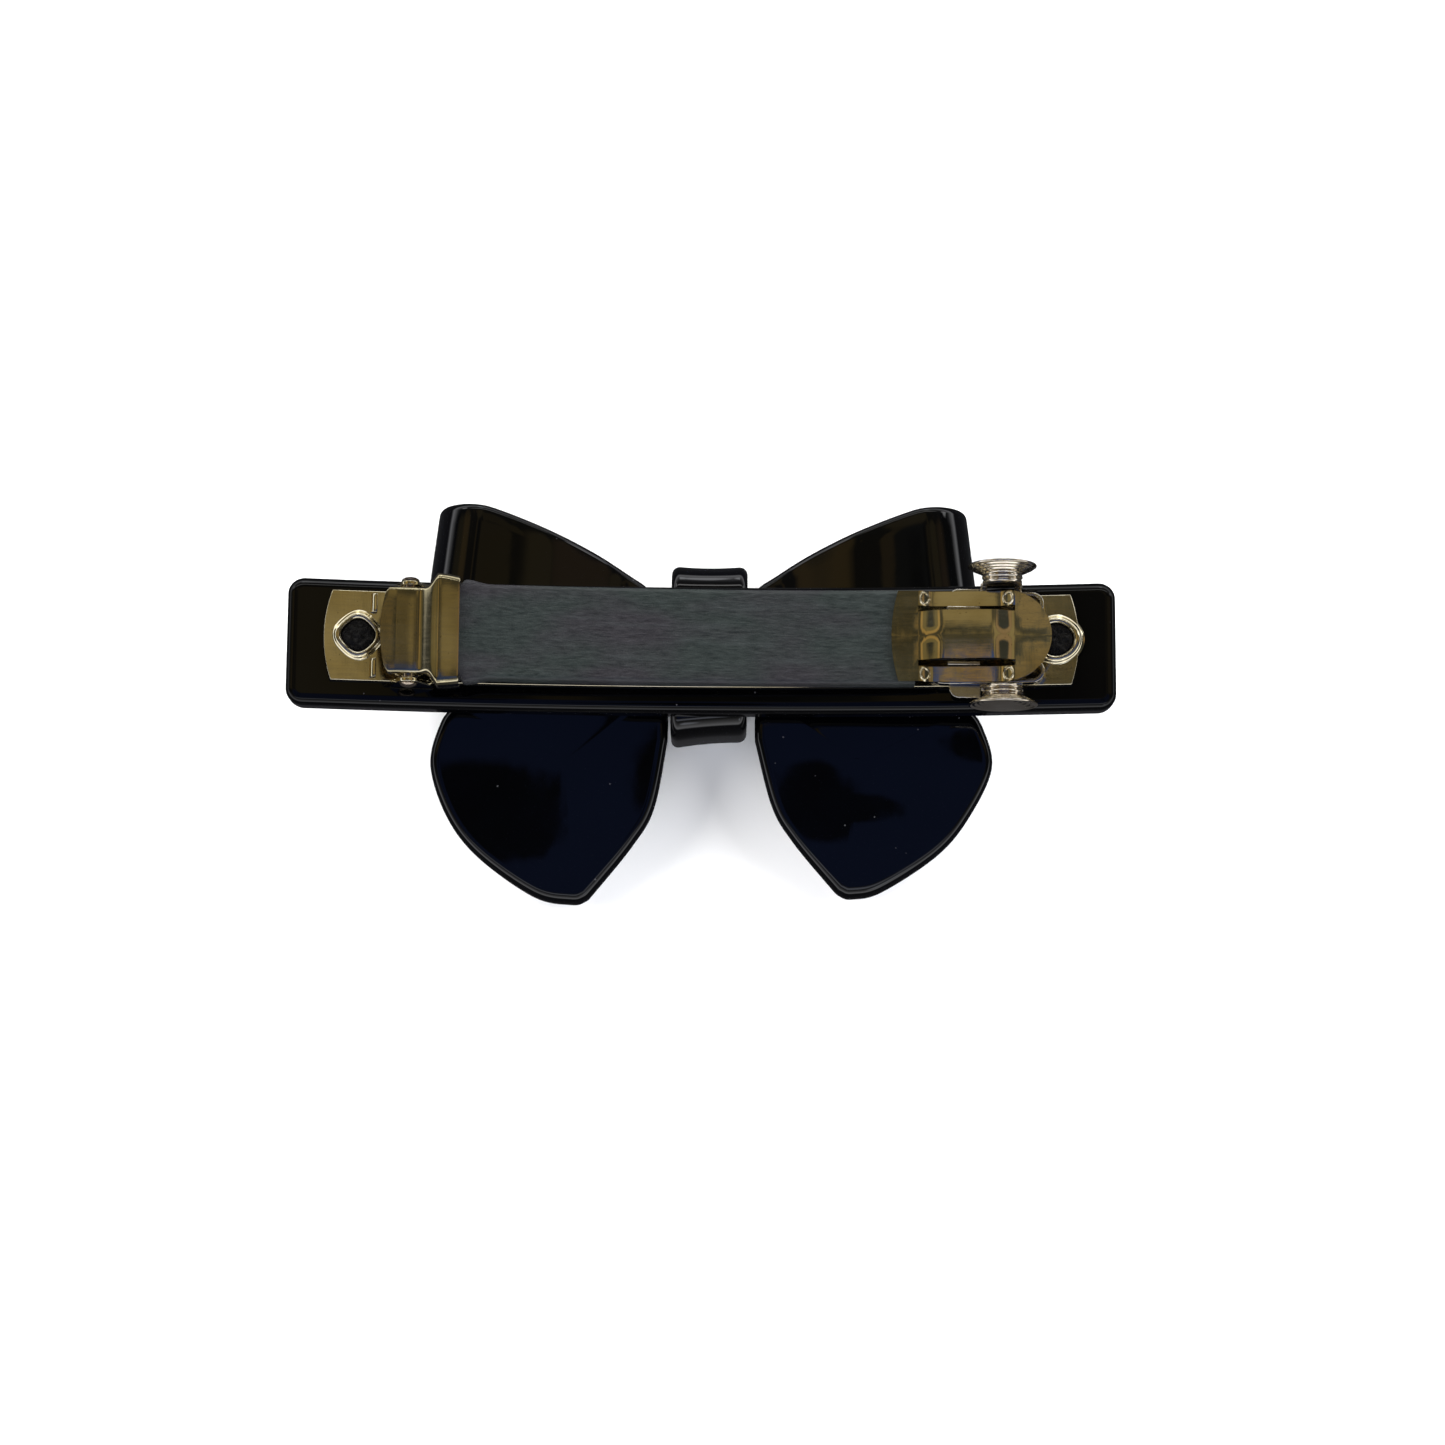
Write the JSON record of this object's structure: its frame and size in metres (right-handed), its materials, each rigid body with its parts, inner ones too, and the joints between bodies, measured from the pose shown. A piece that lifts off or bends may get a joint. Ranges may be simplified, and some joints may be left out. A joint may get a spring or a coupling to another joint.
{
  "type": "bow barrette",
  "caption": "Glossy black bow hair barrette on a curved bar, with a hinged sprung metal clasp and pinch-release catch on its back.",
  "frame": {"origin": "centre of the bounding box on the surface the barrette lies on, bow down and clasp up", "axes": "+X along the bar from the hinge to the catch, +Y across it towards the bow's loops, +Z out of the clasp side"},
  "size_m": [0.0882, 0.0437, 0.0249],
  "materials": {
    "acetate_bar": "polished black acetate, high gloss",
    "acetate_bow": "polished black acetate, high gloss with a blue-black tint",
    "stake_acetate": "melted black acetate, uneven gloss",
    "plate_metal": "bright pale champagne nickel plate, mirror",
    "pin_metal": "dull nickel, darker heads",
    "spring_metal": "bright nickel-plated spring steel",
    "disc_metal": "stamped bright nickel, fine concentric ridges",
    "arm_finish": "dark slate-grey satin coat with fine lengthwise grain"
  },
  "bodies": {
    "base": {"backing_bar": "acetate_bar", "loop_left": "acetate_bow", "loop_right": "acetate_bow", "tail_left": "acetate_bow", "tail_right": "acetate_bow", "knot_band": "acetate_bow", "base_plate": "plate_metal", "stake_left": "stake_acetate", "stake_right": "stake_acetate", "hinge_pin": "pin_metal", "tension_bar": "spring_metal", "catch_bracket": "spring_metal"},
    "arm": {"arm": "arm_finish", "hinge_yoke": "plate_metal", "catch_cap": "plate_metal"},
    "catch_leg_upper": {"leg_upper": "spring_metal", "pinch_disc_upper": "disc_metal"},
    "catch_leg_lower": {"leg_lower": "spring_metal", "pinch_disc_lower": "disc_metal"}
  },
  "joints": [
    {"name": "arm_hinge", "type": "hinge", "parent": "base", "child": "arm", "pos_m": [-0.0308, 0.00493, 0.02074], "axis": [0, -1, 0], "range_deg": [0, 68]},
    {"name": "pinch_upper", "type": "hinge", "parent": "base", "child": "catch_leg_upper", "pos_m": [0.035, 0.00853, 0.01971], "axis": [0, 0, 1], "range_deg": [0, 5], "stiffness_Nm_per_rad": 0.01},
    {"name": "pinch_lower", "type": "hinge", "parent": "base", "child": "catch_leg_lower", "pos_m": [0.035, 0.00133, 0.01971], "axis": [0, 0, -1], "range_deg": [0, 5], "stiffness_Nm_per_rad": 0.01}
  ]
}
